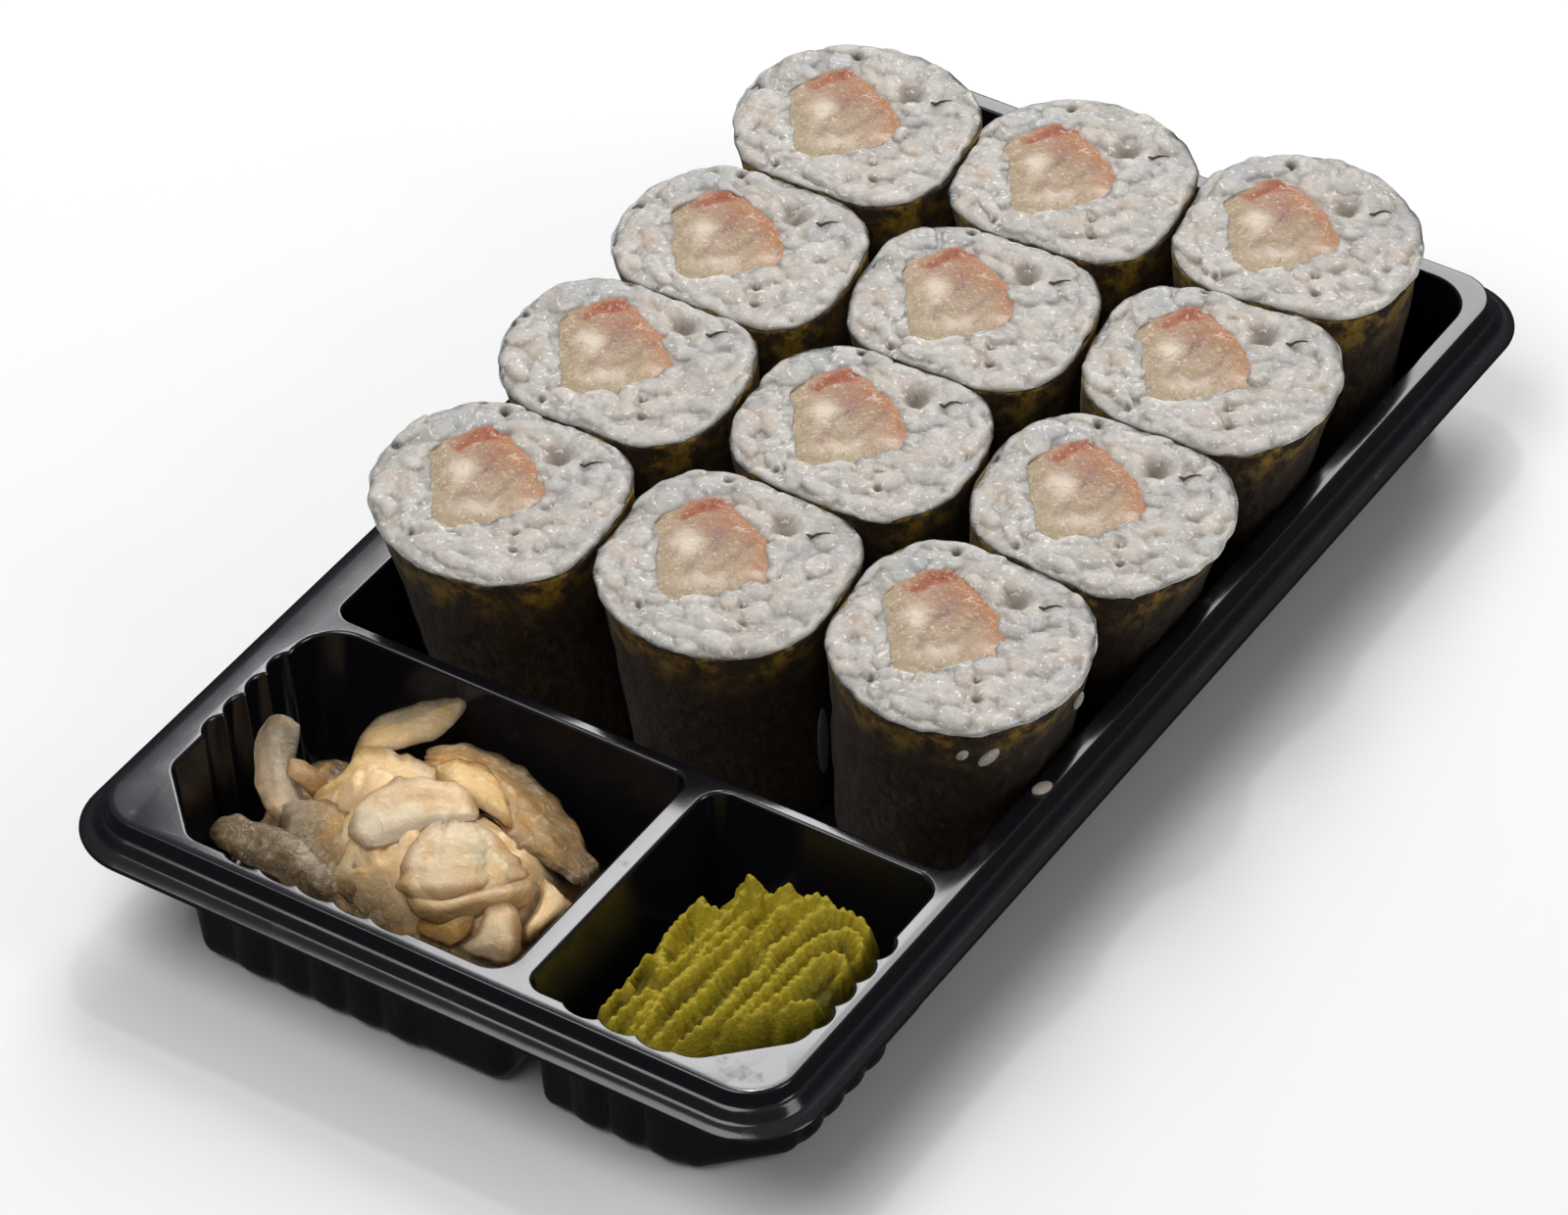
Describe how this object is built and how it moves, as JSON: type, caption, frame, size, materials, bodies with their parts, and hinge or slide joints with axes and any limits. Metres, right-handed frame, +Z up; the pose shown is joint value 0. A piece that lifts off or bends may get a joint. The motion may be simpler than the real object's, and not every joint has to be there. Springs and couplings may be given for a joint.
{
  "type": "takeaway sushi tray",
  "caption": "Black takeaway tray with a roll compartment and two small pockets, filled with seaweed-wrapped rice rolls with fish, pickled ginger and wasabi.",
  "frame": {"origin": "middle of the tray's underside, in the plane it rests on", "axes": "+Y from the two small pockets to the far end of the roll compartment, +X to the wasabi pocket's side, +Z up"},
  "size_m": [0.1312, 0.2372, 0.044],
  "materials": {
    "black_plastic": "glossy thermoformed sheet",
    "cooked_rice": "moist translucent grains",
    "raw_fish": "wet cut fish, pale beige to peach",
    "seaweed": "dark fibrous dried seaweed, moist",
    "pickled_ginger": "wet translucent slices",
    "wasabi_paste": "crumbly moist paste"
  },
  "bodies": {
    "root": {"tray": "black_plastic", "ginger": "pickled_ginger", "wasabi": "wasabi_paste", "rice_r1c1": "cooked_rice", "rice_r1c2": "cooked_rice", "rice_r1c3": "cooked_rice", "rice_r2c1": "cooked_rice", "rice_r2c2": "cooked_rice", "rice_r2c3": "cooked_rice", "rice_r3c1": "cooked_rice", "rice_r3c2": "cooked_rice", "rice_r3c3": "cooked_rice", "rice_r4c1": "cooked_rice", "rice_r4c2": "cooked_rice", "rice_r4c3": "cooked_rice", "fish_r1c1": "raw_fish", "fish_r1c2": "raw_fish", "fish_r1c3": "raw_fish", "fish_r2c1": "raw_fish", "fish_r2c2": "raw_fish", "fish_r2c3": "raw_fish", "fish_r3c1": "raw_fish", "fish_r3c2": "raw_fish", "fish_r3c3": "raw_fish", "fish_r4c1": "raw_fish", "fish_r4c2": "raw_fish", "fish_r4c3": "raw_fish", "seaweed_r1c1": "seaweed", "seaweed_r1c2": "seaweed", "seaweed_r1c3": "seaweed", "seaweed_r2c1": "seaweed", "seaweed_r2c2": "seaweed", "seaweed_r2c3": "seaweed", "seaweed_r3c1": "seaweed", "seaweed_r3c2": "seaweed", "seaweed_r3c3": "seaweed", "seaweed_r4c1": "seaweed", "seaweed_r4c2": "seaweed", "seaweed_r4c3": "seaweed"}
  },
  "joints": []
}
